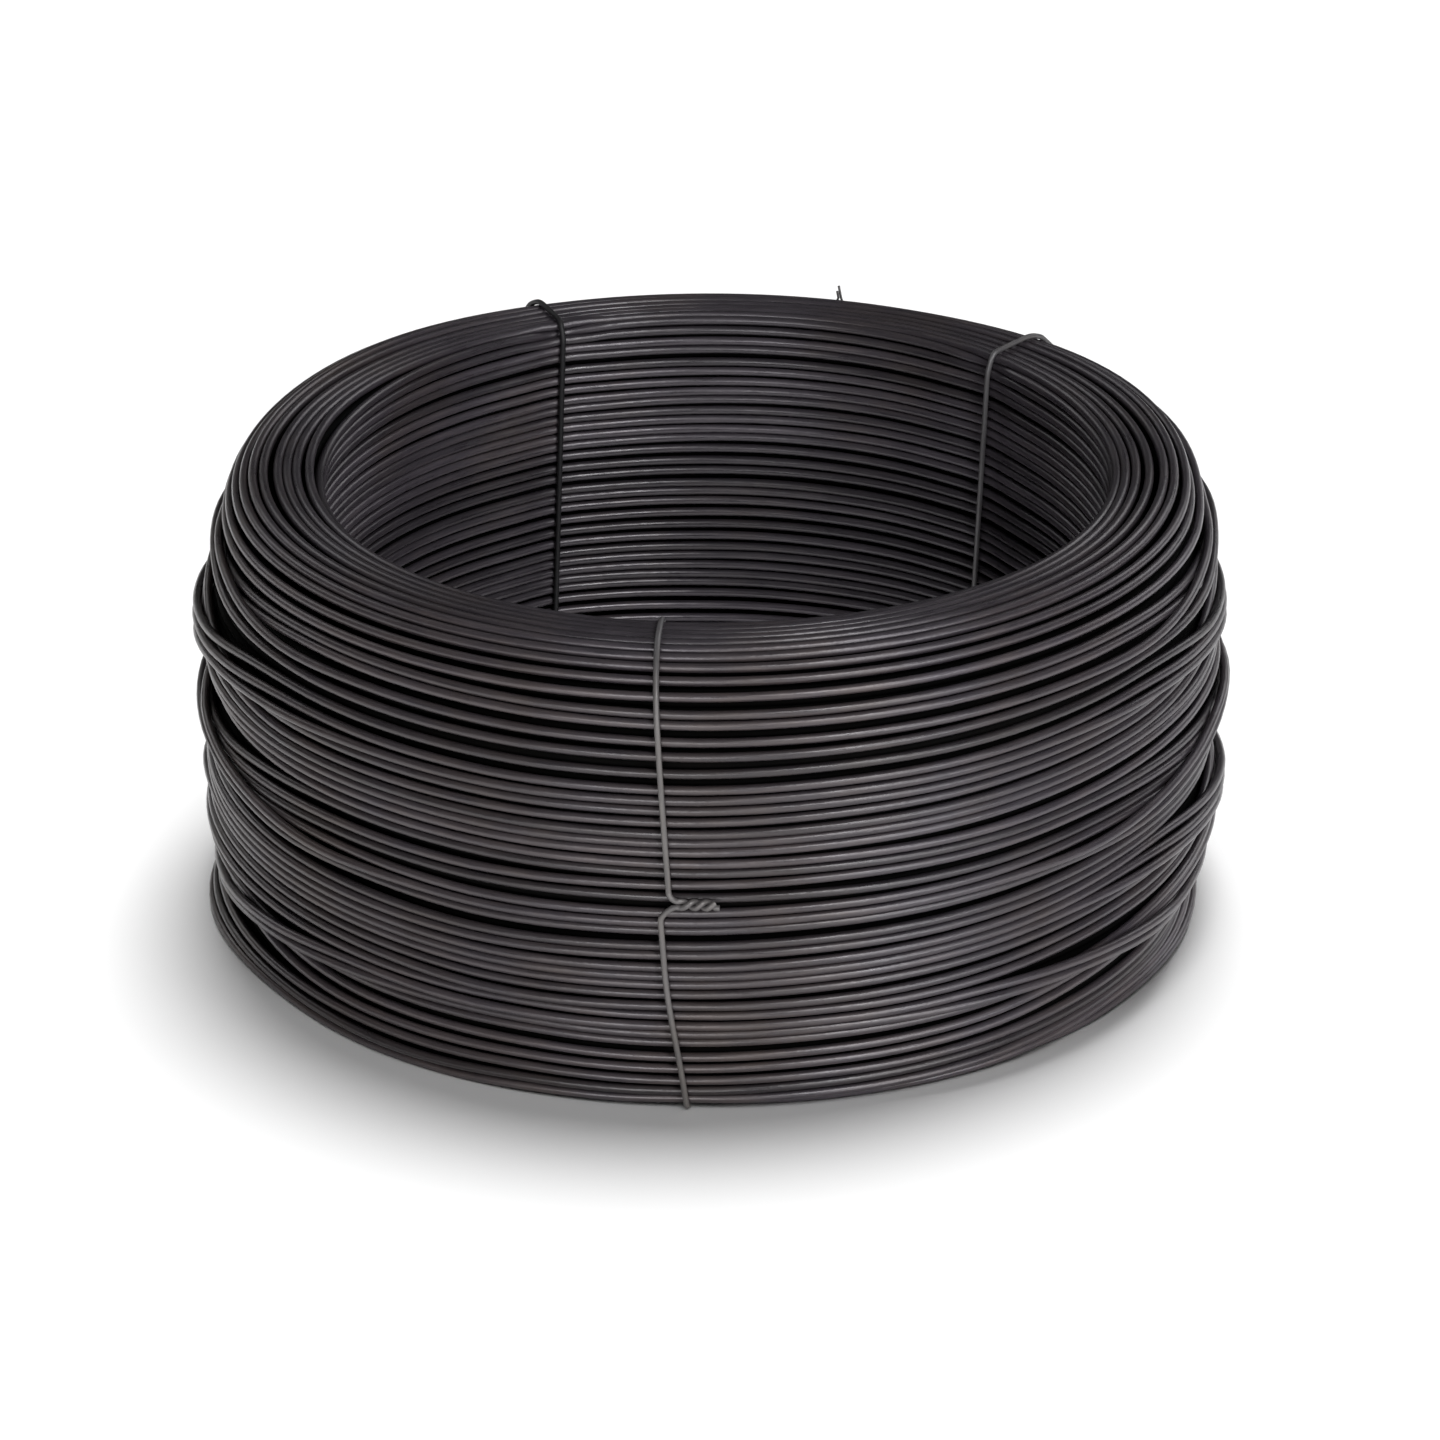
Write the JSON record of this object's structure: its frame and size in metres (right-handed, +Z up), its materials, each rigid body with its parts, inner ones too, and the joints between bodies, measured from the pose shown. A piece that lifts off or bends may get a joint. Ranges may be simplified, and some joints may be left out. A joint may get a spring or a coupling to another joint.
{
  "type": "coil of wire rod",
  "caption": "Open-eyed coil of thin black annealed steel rod standing on its end, its wound turns held by twisted tie wires round the section; stock for forming, fixing and tying.",
  "frame": {"origin": "on the coil's axis at the floor that it stands on", "axes": "+Z up along the coil's axis; -Y is the side that faces the camera, where the front tie is twisted"},
  "size_m": [0.6159, 0.6241, 0.2837],
  "materials": {
    "rod": "satin",
    "tie_wire": "satin"
  },
  "bodies": {
    "root": {"coil": "rod", "tie_front": "tie_wire", "tie_back_left": "tie_wire", "tie_back_right": "tie_wire"}
  },
  "joints": []
}
